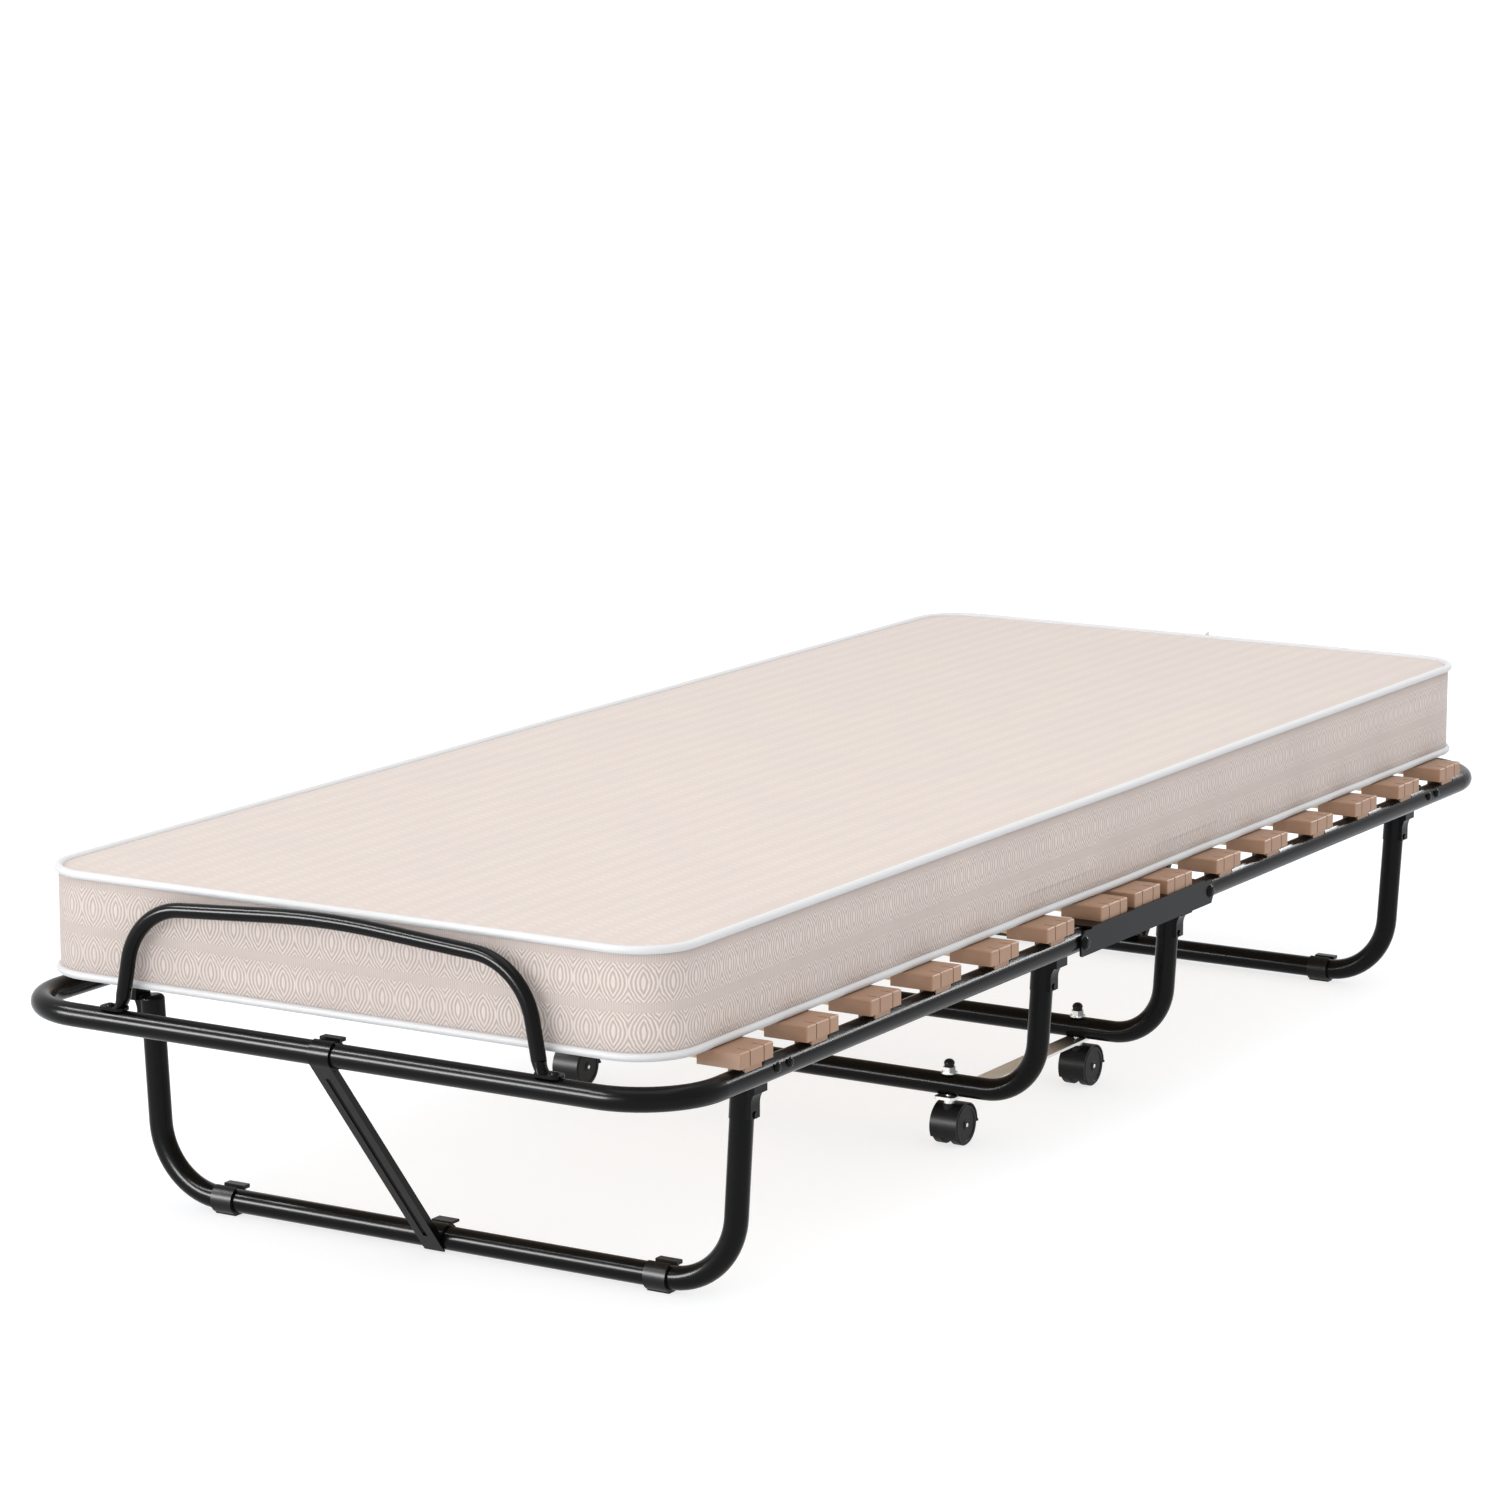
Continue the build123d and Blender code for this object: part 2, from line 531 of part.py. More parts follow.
def caster_hood(x, y):
    """Hooded swivel body: a half-round cover over both wheels and a web between them."""
    wheel_y = y + CASTER_TRAIL
    half = WHEEL_GAP / 2 + WHEEL_WIDTH
    half_cover = half - 0.2
    shell = rod_x(-half_cover, half_cover, 0, 0, HOOD_R)
    shell -= rod_x(-half_cover - 1, half_cover + 1, 0, 0, HOOD_R - HOOD_WALL)
    shell &= box((-30, 30), (-30, 0), (-12, 30)) + box((-30, 30), (0, 30), (-1, 30))
    shell += box((-half_cover, half_cover), (HOOD_R - HOOD_WALL, HOOD_R + 1.8), (-1, 1.4))
    web_half = WHEEL_GAP / 2 - 0.6
    web = rod_x(-web_half, web_half, 0, 0, HOOD_R - 0.5)
    web &= box((-30, 30), (-30, 30), (-7, 30))
    web += rod_x(-web_half, web_half, 0, 0, 7.0)
    boss_top = HOOD_TOP_Z - WHEEL_R
    boss = rod_z(0, -CASTER_TRAIL, boss_top - 8, boss_top, 6.5)
    boss -= rod_x(-20, 20, 0, 0, HOOD_R - 1.0)
    hood = Pos(x, wheel_y, WHEEL_R) * (shell + web + boss)
    hood -= rod_z(x, y, 26.5, HOOD_TOP_Z + 2, 3.0 + SHAFT_CLEARANCE)
    hood -= rod_x(x - 20, x + 20, wheel_y, WHEEL_R, 2.5 + SHAFT_CLEARANCE)
    return hood


def caster_wheels(x, y):
    """Twin wheel on one axle, each wheel dished towards the web."""
    wheel_y = y + CASTER_TRAIL
    inner = WHEEL_GAP / 2
    outer = inner + WHEEL_WIDTH
    rim_r = WHEEL_R - 6.0
    profile = Polyline(
        (inner, 2.4), (inner, 5.0), (outer - 3.5, 5.0), (outer - 3.5, rim_r), (inner, rim_r),
        (inner, WHEEL_R - 1.0), (inner + 1.0, WHEEL_R), (outer - 1.5, WHEEL_R),
        (outer, WHEEL_R - 1.5), (outer, WHEEL_R - 4.5), (outer - 0.8, WHEEL_R - 5.5), (outer - 0.8, 6.0),
        (outer, 5.0), (outer, 2.4), close=True)
    wheel = revolve(make_face(profile), Axis.X)
    axle = rod_x(-outer - 0.4, outer + 0.4, 0, 0, 2.5)
    return Pos(x, wheel_y, WHEEL_R) * (axle + both_sides(wheel))


# ---------------------------------------------------------------- lock clip
LOCK_HALF = 9.0
LOCK_T = 3.0


def lock_clip():
    """Clip on the far retainer. Folded, its free hook drops over the near retainer."""
    pivot_y = RAIL_END_Y
    pivot_z = retainer_path_z(0)
    reach = 2 * (HINGE_Y - (pivot_z - RAIL_Z))
    hook_r = RETAINER_R + 0.8
    x = (-LOCK_HALF, LOCK_HALF)
    back = -hook_r
    clip = box(x, (back - LOCK_T, back), (-reach - hook_r - LOCK_T, RETAINER_R - 1.5))
    for z, radius in ((0, RETAINER_R + 0.1), (-reach, hook_r)):
        ring = rod_x(*x, 0, z, hook_r + LOCK_T - 0.6)
        ring += box(x, (0, 5.5), (z - hook_r - LOCK_T + 0.6, z + hook_r + LOCK_T - 0.6))
        ring &= box((-20, 20), (-20, 5.5), (z - 20, z + 20))
        clip += ring
    for side in (-1, 1):
        edge = side * (LOCK_HALF - 1.0)
        clip += box((edge - 1.0, edge + 1.0), (back - 1, -1.0), (-reach + 4, -4))
    clip -= rod_x(-20, 20, 0, 0, RETAINER_R + 0.1)
    clip -= box((-20, 20), (0, 20), (-RETAINER_R + 1.5, RETAINER_R - 1.5))
    clip -= rod_x(-20, 20, 0, -reach, hook_r)
    clip -= box((-20, 20), (0, 20), (-reach - hook_r, -reach + hook_r))
    return Pos(0, pivot_y, pivot_z) * clip


# ---------------------------------------------------------------- write the sub-parts
def save(name, shapes):
    """One STEP file per sub-part; a list is written as a group of separate solids."""
    pieces = list(shapes) if isinstance(shapes, (list, tuple)) else [shapes]
    solids = [solid for piece in pieces for solid in piece.solids()]
    shape = solids[0] if len(solids) == 1 else Compound(children=solids)
    shape.label = name
    export_step(shape, f"parts/{name}.step")


def save_section(base, near_shapes):
    """A near piece or group, and its mirror image at the far end."""
    pieces = near_shapes if isinstance(near_shapes, list) else [near_shapes]
    save(f"{base}_near", pieces)
    save(f"{base}_far", [far(piece) for piece in pieces])


def main():
    os.makedirs("parts", exist_ok=True)
    save_section("frame", section_frame())
    save_section("rail_plugs", rail_plugs())
    for i, y in enumerate(SECTION_SLAT_YS, start=1):
        save(f"slat_near_{i}", slat(y))
        save(f"slat_far_{i}", slat(-y))
    for i, y in enumerate(CENTRE_SLAT_YS, start=1):
        save(f"slat_centre_{i}", slat(y))
    save_section("slat_caps", slat_caps(SECTION_SLAT_YS, on_rail=True))
    save("slat_caps_centre", slat_caps(CENTRE_SLAT_YS, on_rail=False))

    end_y = MATTRESS_LENGTH / 2
    save_section("mattress", mattress_block(-end_y, -MATTRESS_FOLD_Y, rounded=True))
    save("mattress_middle", mattress_block(-MATTRESS_FOLD_Y + 1, MATTRESS_FOLD_Y - 1, rounded=False))

    save_section("retainer", retainer())
    save_section("end_leg", end_leg())
    save_section("leg_brackets", leg_brackets())
    save_section("leg_pivots", leg_pivots())
    save_section("rivets", section_rivets())
    save("foot_clips_near", foot_clips(-END_LEG_Y))
    save("foot_clips_far", foot_clips(END_LEG_Y))
    save_section("brace", brace())

    right_plate = hinge_plate()
    save("hinge_plate_right", right_plate)
    save("hinge_plate_left", mirror(right_plate, about=Plane.YZ))
    save("hinge_bolts", hinge_bolts())
    save_section("caster_leg", caster_leg())
    right_strip = link_strip()
    save("link_strip_right", right_strip)
    save("link_strip_left", mirror(right_strip, about=Plane.YZ))

    save("caster_stems", [caster_stem(x, y) for x, y in CASTER_SPOTS])
    save("caster_nuts", [caster_nut(x, y) for x, y in CASTER_SPOTS])
    save("caster_nut_caps", [nut_cap(x, y) for x, y in CASTER_SPOTS])
    for i, (x, y) in enumerate(CASTER_SPOTS, start=1):
        save(f"caster_hood_{i}", caster_hood(x, y))
        save(f"caster_wheels_{i}", caster_wheels(x, y))
    save("lock_clip", lock_clip())


main()
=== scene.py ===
"""Rollaway bed: its looks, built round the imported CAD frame. Metres, +Z up, near end at -Y."""
import json
import math

import bmesh
import bpy
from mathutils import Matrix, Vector


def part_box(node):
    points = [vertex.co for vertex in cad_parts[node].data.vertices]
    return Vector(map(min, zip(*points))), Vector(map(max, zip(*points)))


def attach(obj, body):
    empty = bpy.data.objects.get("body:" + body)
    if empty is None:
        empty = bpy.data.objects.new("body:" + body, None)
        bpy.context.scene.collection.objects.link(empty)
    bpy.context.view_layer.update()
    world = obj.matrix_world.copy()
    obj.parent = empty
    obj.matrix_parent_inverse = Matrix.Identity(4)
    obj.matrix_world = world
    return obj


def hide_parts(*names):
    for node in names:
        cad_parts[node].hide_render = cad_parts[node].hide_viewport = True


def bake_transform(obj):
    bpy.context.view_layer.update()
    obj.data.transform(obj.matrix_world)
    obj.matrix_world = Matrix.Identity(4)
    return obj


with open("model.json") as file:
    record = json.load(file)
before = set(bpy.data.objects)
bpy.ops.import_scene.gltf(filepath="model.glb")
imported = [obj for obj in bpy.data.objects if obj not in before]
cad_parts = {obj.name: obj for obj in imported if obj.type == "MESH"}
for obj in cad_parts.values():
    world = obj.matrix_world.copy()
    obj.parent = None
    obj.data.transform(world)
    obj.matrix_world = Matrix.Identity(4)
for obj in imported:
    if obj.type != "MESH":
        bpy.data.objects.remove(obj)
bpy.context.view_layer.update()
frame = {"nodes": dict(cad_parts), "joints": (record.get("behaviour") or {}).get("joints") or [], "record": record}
nodes = frame["nodes"]
joint_of = {joint["name"]: joint for joint in frame["joints"]}

# ------------------------------------------------------------------ sizes, from the frame
MM = 0.001
bed_low, bed_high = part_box("mattress_far")
BED_HALF_X = bed_high.x
BED_HALF_Y = bed_high.y
BED_BOTTOM = bed_low.z
BED_TOP = bed_high.z
CORNER_R = 62 * MM
PIPING_R = 4.2 * MM
SEAM_INSET = PIPING_R - 0.8 * MM            # piping centre, inwards from the outline
CELL = 15 * MM                              # mattress mesh
SIDE_RINGS = 8
SEAM_LOW = BED_BOTTOM + PIPING_R            # height of the two seams
SEAM_HIGH = BED_TOP - PIPING_R
TOP_CROWN = 3.6 * MM                        # most that the foam swells
SIDE_BULGE = 2.4 * MM
UNDERSIDE_SAG = 0.2 * MM
UNDERSIDE = 12 * MM                         # height of the part that rests on the slats
HINGE_Y = joint_of["fold_far"]["pos_m"][1]
SPLIT_RING = 2                              # the base and the upper part of the cover meet here
SPLIT_HEIGHT = SEAM_LOW + (SEAM_HIGH - SEAM_LOW) * SPLIT_RING / SIDE_RINGS
END_INSET = 2.0 * MM                        # how far the sides are drawn in at the ends
BASE_INSET = 1.5 * MM                       # and the base, besides, at a hinge


# ------------------------------------------------------------------ material helpers
class Graph:
    """A material's node tree, with short calls for the nodes used here."""

    def __init__(self, name):
        self.material = bpy.data.materials.new(name)
        self.material.use_nodes = True
        self.tree = self.material.node_tree
        self.shader = self.tree.nodes["Principled BSDF"]

    def node(self, kind, **props):
        made = self.tree.nodes.new(kind)
        for key, value in props.items():
            setattr(made, key, value)
        return made

    def link(self, value, socket):
        """Connects a socket, or sets a plain value."""
        if isinstance(value, bpy.types.NodeSocket):
            self.tree.links.new(value, socket)
        else:
            socket.default_value = value

    def set(self, **values):
        """Sets the shader's inputs; underscores stand for spaces."""
        for key, value in values.items():
            self.link(value, self.shader.inputs[key.replace("_", " ")])

    def math(self, operation, a, b=0.0):
        made = self.node("ShaderNodeMath", operation=operation)
        self.link(a, made.inputs[0])
        self.link(b, made.inputs[1])
        return made.outputs[0]

    def place(self, scale=(1, 1, 1), uv=False):
        """Object or UV coordinates, scaled."""
        if uv:
            source = self.node("ShaderNodeUVMap", uv_map="cloth").outputs[0]
        else:
            source = self.node("ShaderNodeTexCoord").outputs["Object"]
        mapping = self.node("ShaderNodeMapping")
        self.link(source, mapping.inputs["Vector"])
        mapping.inputs["Scale"].default_value = scale
        return mapping.outputs[0]

    def noise(self, place, scale, detail=2.0, rough=0.5):
        made = self.node("ShaderNodeTexNoise")
        self.link(place, made.inputs["Vector"])
        made.inputs["Scale"].default_value = scale
        made.inputs["Detail"].default_value = detail
        made.inputs["Roughness"].default_value = rough
        return made.outputs["Fac"]

    def ramp(self, factor, stops):
        made = self.node("ShaderNodeValToRGB")
        self.link(factor, made.inputs[0])
        elements = made.color_ramp.elements
        while len(elements) < len(stops):
            elements.new(0.5)
        for element, (place, color) in zip(elements, stops):
            element.position = place
            element.color = (*color, 1)
        return made.outputs[0]

    def spread(self, factor, low, high):
        """Maps 0..1 to low..high."""
        made = self.node("ShaderNodeMapRange")
        self.link(factor, made.inputs["Value"])
        made.inputs["To Min"].default_value = low
        made.inputs["To Max"].default_value = high
        return made.outputs[0]

    def mix(self, factor, a, b):
        made = self.node("ShaderNodeMix", data_type="RGBA")
        self.link(factor, made.inputs["Factor"])
        self.link(a if isinstance(a, bpy.types.NodeSocket) else (*a, 1), made.inputs["A"])
        self.link(b if isinstance(b, bpy.types.NodeSocket) else (*b, 1), made.inputs["B"])
        return made.outputs["Result"]

    def bump(self, height, strength, distance):
        made = self.node("ShaderNodeBump")
        self.link(height, made.inputs["Height"])
        made.inputs["Strength"].default_value = strength
        made.inputs["Distance"].default_value = distance
        self.link(made.outputs[0], self.shader.inputs["Normal"])


def powder_coat():
    """Gloss black powder coat with a faint orange peel."""
    g = Graph("black_powder_coat")
    place = g.place()
    peel = g.noise(place, 420, 1.5)
    broad = g.noise(place, 14, 3)
    g.set(Base_Color=g.mix(broad, (0.0020, 0.0020, 0.0021), (0.0040, 0.0040, 0.0042)))
    g.set(Roughness=g.spread(broad, 0.17, 0.25), Specular_IOR_Level=0.10)
    g.bump(peel, 0.05, 0.4 * MM)
    return g.material


def cap_plastic():
    """Tan moulded plastic with a fine satin grain."""
    g = Graph("tan_cap_plastic")
    place = g.place()
    grain = g.noise(place, 900, 3)
    flow = g.noise(g.place((1, 0.25, 1)), 45, 4)
    g.set(Base_Color=g.mix(flow, (0.28, 0.158, 0.094), (0.345, 0.198, 0.120)))
    g.set(Roughness=g.spread(grain, 0.42, 0.58))
    g.bump(grain, 0.12, 0.25 * MM)
    return g.material


def birch():
    """Clear-coated birch, its grain along the slat."""
    g = Graph("birch_slat")
    fibre = g.noise(g.place((3, 130, 130)), 1.0, 6, 0.6)
    figure = g.noise(g.place((1.3, 16, 16)), 1.0, 3, 0.55)
    tone = g.math("ADD", g.math("MULTIPLY", fibre, 0.45), g.math("MULTIPLY", figure, 0.55))
    wood = g.ramp(tone, [(0.30, (0.60, 0.40, 0.19)), (0.52, (0.76, 0.56, 0.31)),
                         (0.72, (0.84, 0.66, 0.41))])
    pores = g.noise(g.place((9, 700, 700)), 1.0, 3, 0.5)
    g.set(Base_Color=g.mix(g.spread(pores, 0.0, 0.25), wood, (0.42, 0.26, 0.12)))
    g.set(Roughness=g.spread(fibre, 0.34, 0.5), Coat_Weight=0.15, Coat_Roughness=0.3)
    g.bump(pores, 0.12, 0.3 * MM)
    return g.material


def zinc():
    """Bright zinc plate, brushed a little along the bed."""
    g = Graph("bright_zinc")
    brushed = g.noise(g.place((900, 30, 900)), 1.0, 3)
    cloud = g.noise(g.place(), 60, 3)
    g.set(Base_Color=g.mix(cloud, (0.60, 0.60, 0.59), (0.76, 0.76, 0.75)), Metallic=1.0)
    g.set(Roughness=g.spread(brushed, 0.22, 0.40))
    g.bump(brushed, 0.06, 0.2 * MM)
    return g.material


def plain_plastic(name, dark, light, rough, grain_strength, shine=0.5):
    """Moulded plastic of one colour, with a spark-eroded grain."""
    g = Graph(name)
    place = g.place()
    grain = g.noise(place, 1300, 2)
    cloud = g.noise(place, 30, 3)
    g.set(Base_Color=g.mix(cloud, dark, light))
    g.set(Roughness=g.spread(grain, rough - 0.05, rough + 0.08), Specular_IOR_Level=shine)
    g.bump(grain, grain_strength, 0.2 * MM)
    return g.material


def weave_of(g, split, across, along):
    """Fine plain weave, -1 to 1."""
    u = g.math("SINE", g.math("MULTIPLY", split.outputs[0], 2 * math.pi / across))
    v = g.math("SINE", g.math("MULTIPLY", split.outputs[1], 2 * math.pi / along))
    return g.math("MULTIPLY", u, v)


def finish_cloth(g, uv, pattern, weave, ground, thread, relief):
    """Colour, sheen and relief of a ticking, from its 0 to 1 pattern."""
    slub = g.noise(uv, 700, 3, 0.6)
    height = g.math("ADD", pattern, g.math("MULTIPLY", weave, 0.16))
    height = g.math("ADD", height, g.math("MULTIPLY", slub, 0.5))
    tint = g.mix(pattern, ground, thread)
    cloud = g.noise(uv, 9, 3)
    patch = tuple(0.94 * a for a in (ground[0], ground[1], ground[2] * 1.10))
    g.set(Base_Color=g.mix(g.spread(cloud, 0.0, 0.5), tint, patch))
    g.set(Roughness=g.spread(pattern, 0.82, 0.70), Specular_IOR_Level=0.15)
    g.set(Sheen_Weight=0.12, Sheen_Roughness=0.45)
    g.bump(height, relief, 0.7 * MM)
    return g.material


def ticking_side(ground, thread):
    """Woven ticking: rows of concentric leaves with a plain band between the rows."""
    cell_u, cell_v = 29 * MM, 47 * MM
    rings = 3.5
    g = Graph("ticking_side")
    uv = g.place(uv=True)
    split = g.node("ShaderNodeSeparateXYZ")
    g.link(uv, split.inputs[0])
    wobble = g.math("MULTIPLY", g.math("SUBTRACT", g.noise(uv, 160, 2), 0.5), 0.06)

    def cell(axis, size):
        """Distance from the middle of the repeat, 0 to 0.5."""
        place = g.math("ADD", g.math("DIVIDE", split.outputs[axis], size), wobble)
        return g.math("ABSOLUTE", g.math("SUBTRACT", g.math("FRACT", place), 0.5))

    across = cell(0, cell_u)
    along = cell(1, cell_v)
    leaf = g.math("SUBTRACT", 1.0, g.math("COSINE", g.math("MULTIPLY", along, math.pi)))
    distance = g.math("ADD", g.math("MULTIPLY", across, 2.0), leaf)
    ridge = g.math("SINE", g.math("MULTIPLY", distance, 2 * math.pi * rings))
    ridge = g.math("MULTIPLY", g.math("ADD", ridge, 1.0), 0.5)
    band = g.math("LESS_THAN", g.math("SUBTRACT", 0.5, along), 0.10)
    rib = g.math("SINE", g.math("MULTIPLY", split.outputs[0], 2 * math.pi / (2.4 * MM)))
    plain = g.spread(g.math("MULTIPLY", g.math("ADD", rib, 1.0), 0.5), 0.2, 0.55)
    select = g.node("ShaderNodeMix", data_type="FLOAT")
    g.link(band, select.inputs["Factor"])
    g.link(ridge, select.inputs["A"])
    g.link(plain, select.inputs["B"])
    weave = weave_of(g, split, 1.1 * MM, 0.8 * MM)
    return finish_cloth(g, uv, select.outputs["Result"], weave, ground, thread, 0.8)


def ticking_top(ground, thread):
    """The same cloth on top: faint rows of short dashes that run along the bed."""
    row, dash = 27 * MM, 11 * MM
    g = Graph("ticking_top")
    uv = g.place(uv=True)
    split = g.node("ShaderNodeSeparateXYZ")
    g.link(uv, split.inputs[0])
    wobble = g.math("MULTIPLY", g.math("SUBTRACT", g.noise(uv, 120, 2), 0.5), 0.25)
    u = g.math("ADD", g.math("DIVIDE", split.outputs[0], row), wobble)
    lane = g.math("ABSOLUTE", g.math("SINE", g.math("MULTIPLY", u, math.pi)))
    step = g.math("MULTIPLY", g.math("FLOOR", g.math("MULTIPLY", u, 3.0)), 0.37)
    v = g.math("ADD", g.math("DIVIDE", split.outputs[1], dash), g.math("ADD", step, wobble))
    dashes = g.math("ADD", g.math("SINE", g.math("MULTIPLY", v, 2 * math.pi)), 1.0)
    pattern = g.math("MULTIPLY", g.math("MULTIPLY", lane, lane), g.math("MULTIPLY", dashes, 0.5))
    streak = g.noise(g.place((160, 9, 1), uv=True), 1.0, 3)
    pattern = g.math("ADD", g.math("MULTIPLY", pattern, 0.6), g.math("MULTIPLY", streak, 0.4))
    weave = weave_of(g, split, 1.1 * MM, 0.8 * MM)
    return finish_cloth(g, uv, pattern, weave, ground, thread, 0.35)


def piping_cloth():
    """White bias-cut binding with a fine diagonal weave."""
    g = Graph("white_piping")
    twill = g.node("ShaderNodeTexWave", wave_type="BANDS", bands_direction="DIAGONAL")
    g.link(g.place(uv=True), twill.inputs["Vector"])
    twill.inputs["Scale"].default_value = 260
    twill.inputs["Distortion"].default_value = 1.5
    fuzz = g.noise(g.place(uv=True), 900, 3)
    g.set(Base_Color=g.mix(fuzz, (0.52, 0.52, 0.525), (0.60, 0.60, 0.605)), Roughness=0.7)
    g.set(Sheen_Weight=0.3, Sheen_Roughness=0.4)
    g.bump(twill.outputs["Fac"], 0.2, 0.25 * MM)
    return g.material


MATERIALS = {
    "black_paint": powder_coat(),
    "cap_plastic": cap_plastic(),
    "slat_wood": birch(),
    "zinc": zinc(),
    "black_plastic": plain_plastic(
        "black_moulding", (0.004, 0.004, 0.004), (0.008, 0.008, 0.008), 0.33, 0.08, 0.16),
    "hood_plastic": plain_plastic(
        "hood_moulding", (0.005, 0.005, 0.006), (0.010, 0.010, 0.011), 0.36, 0.12, 0.14),
    "wheel_plastic": plain_plastic(
        "wheel_moulding", (0.005, 0.005, 0.005), (0.009, 0.009, 0.009), 0.42, 0.12, 0.14),
    "clip_plastic": plain_plastic(
        "white_moulding", (0.78, 0.78, 0.76), (0.86, 0.86, 0.84), 0.35, 0.06),
}
TICKING_SIDE = ticking_side((0.45, 0.372, 0.335), (0.80, 0.715, 0.65))
TICKING_TOP = ticking_top((0.53, 0.460, 0.412), (0.625, 0.555, 0.500))
PIPING = piping_cloth()


def paint_frame():
    """Gives every CAD node the material of its slot in the record."""
    for entry in frame["record"]["subparts"]:
        material = MATERIALS.get(entry["material_slot"])
        if material is None:
            continue
        data = nodes[entry["node"]].data
        data.materials.clear()
        data.materials.append(material)


# ------------------------------------------------------------------ mattress
def spaced(low, high, step):
    """Evenly spaced values from low to high, no further apart than step."""
    count = max(1, math.ceil((high - low) / step))
    return [low + (high - low) * i / count for i in range(count + 1)]


def axis_stops(half, corner, step):
    """Grid lines along one axis, closer together in the rounded corners."""
    inner = half - corner
    edge = spaced(inner, half, corner / 6)
    middle = spaced(-inner, 0, step)
    left = [-v for v in reversed(edge)]
    return left[:-1] + middle + [-v for v in reversed(middle[:-1])] + edge[1:]


def rounded(x, y, half_x, half_y, corner):
    """Moves a point of a square-cornered grid onto the round-cornered outline."""
    dx, dy = abs(x) - (half_x - corner), abs(y) - (half_y - corner)
    if dx <= 0 or dy <= 0:
        return x, y
    scale = max(dx, dy) / math.hypot(dx, dy)
    return (math.copysign(half_x - corner + dx * scale, x),
            math.copysign(half_y - corner + dy * scale, y))


def mattress_mesh():
    """Closed mesh with cloth UVs, its seams' vertex numbers and the points of its outline."""
    half_x, half_y = BED_HALF_X - SEAM_INSET, BED_HALF_Y - SEAM_INSET
    corner = CORNER_R - SEAM_INSET
    xs, ys = axis_stops(half_x, corner, CELL), axis_stops(half_y, corner, CELL)
    last_x, last_y = len(xs) - 1, len(ys) - 1
    mesh = bmesh.new()
    uv_layer = mesh.loops.layers.uv.new("cloth")

    def sheet(z):
        return [[mesh.verts.new((*rounded(x, y, half_x, half_y, corner), z)) for y in ys]
                for x in xs]

    def rim(grid):
        """The sheet's edge, anticlockwise from the middle of the -X side."""
        middle = last_y // 2
        right = [grid[last_x][j] for j in range(middle, last_y + 1)]
        back = [grid[i][last_y] for i in range(last_x - 1, -1, -1)]
        left = [grid[0][j] for j in range(last_y - 1, -1, -1)]
        front = [grid[i][0] for i in range(1, last_x + 1)]
        rest = [grid[last_x][j] for j in range(1, middle)]
        ring = right + back + left + front + rest
        return ring[len(ring) // 2:] + ring[:len(ring) // 2]

    top, bottom = sheet(SEAM_HIGH), sheet(SEAM_LOW)
    for grid, order in ((top, 1), (bottom, -1)):
        for i in range(last_x):
            for j in range(last_y):
                corners = [grid[i][j], grid[i + 1][j], grid[i + 1][j + 1], grid[i][j + 1]]
                face = mesh.faces.new(corners[::order])
                face.material_index = 1
                for loop in face.loops:
                    loop[uv_layer].uv = (loop.vert.co.x, loop.vert.co.y)
    rings = [rim(bottom)]
    for k in range(1, SIDE_RINGS):
        z = SEAM_LOW + (SEAM_HIGH - SEAM_LOW) * k / SIDE_RINGS
        rings.append([mesh.verts.new((v.co.x, v.co.y, z)) for v in rings[0]])
    rings.append(rim(top))
    count = len(rings[0])
    around = [0.0]
    for a, b in zip(rings[0], rings[0][1:] + rings[0][:1]):
        around.append(around[-1] + (b.co - a.co).length)
    for lower, upper in zip(rings, rings[1:]):
        for n in range(count):
            m = (n + 1) % count
            face = mesh.faces.new([lower[n], lower[m], upper[m], upper[n]])
            face.material_index = 0
            places = [(around[n], lower[n]), (around[n + 1], lower[m]),
                      (around[n + 1], upper[m]), (around[n], upper[n])]
            for loop, (u, vert) in zip(face.loops, places):
                loop[uv_layer].uv = (u, vert.co.z - SEAM_LOW)
    mesh.normal_update()
    data = bpy.data.meshes.new("mattress")
    mesh.verts.index_update()
    seam = [v.index for v in rings[0] + rings[-1]]
    outline = [v.co.copy() for v in rings[-1]]
    mesh.to_mesh(data)
    mesh.free()
    return data, seam, outline


def inflate(piece, seam, steps=16, pressure=4.0):
    """Cloth simulation: the panels swell between their pinned seams."""
    group = piece.vertex_groups.new(name="seam")
    group.add(seam, 1.0, "REPLACE")
    cloth = piece.modifiers.new("Cloth", "CLOTH")
    cloth.settings.vertex_group_mass = "seam"
    cloth.settings.quality = 4
    cloth.settings.tension_stiffness = 12
    cloth.settings.compression_stiffness = 12
    cloth.settings.shear_stiffness = 6
    cloth.settings.bending_stiffness = 3
    cloth.settings.use_pressure = True
    cloth.settings.uniform_pressure_force = pressure
    cloth.settings.effector_weights.gravity = 0
    cloth.point_cache.frame_start = 1
    cloth.point_cache.frame_end = steps
    scene = bpy.context.scene
    for step in range(1, steps + 1):
        scene.frame_set(step)
    evaluated = piece.evaluated_get(bpy.context.evaluated_depsgraph_get())
    swollen = [v.co.copy() for v in evaluated.data.vertices]
    piece.modifiers.remove(cloth)
    piece.vertex_groups.remove(group)
    scene.frame_set(1)
    return swollen


def settle(piece, swollen):
    """Keeps the simulated shape, within the swell that foam of this size shows."""
    for vert, goal in zip(piece.data.vertices, swollen):
        move = goal - vert.co
        if move.length < 1e-7:
            continue
        on_side = abs(move.z) < 0.5 * move.length
        limit = SIDE_BULGE if on_side else TOP_CROWN
        if not on_side and vert.co.z < BED_BOTTOM + UNDERSIDE:
            limit = UNDERSIDE_SAG
        vert.co += move.normalized() * limit * math.tanh(move.length / limit)


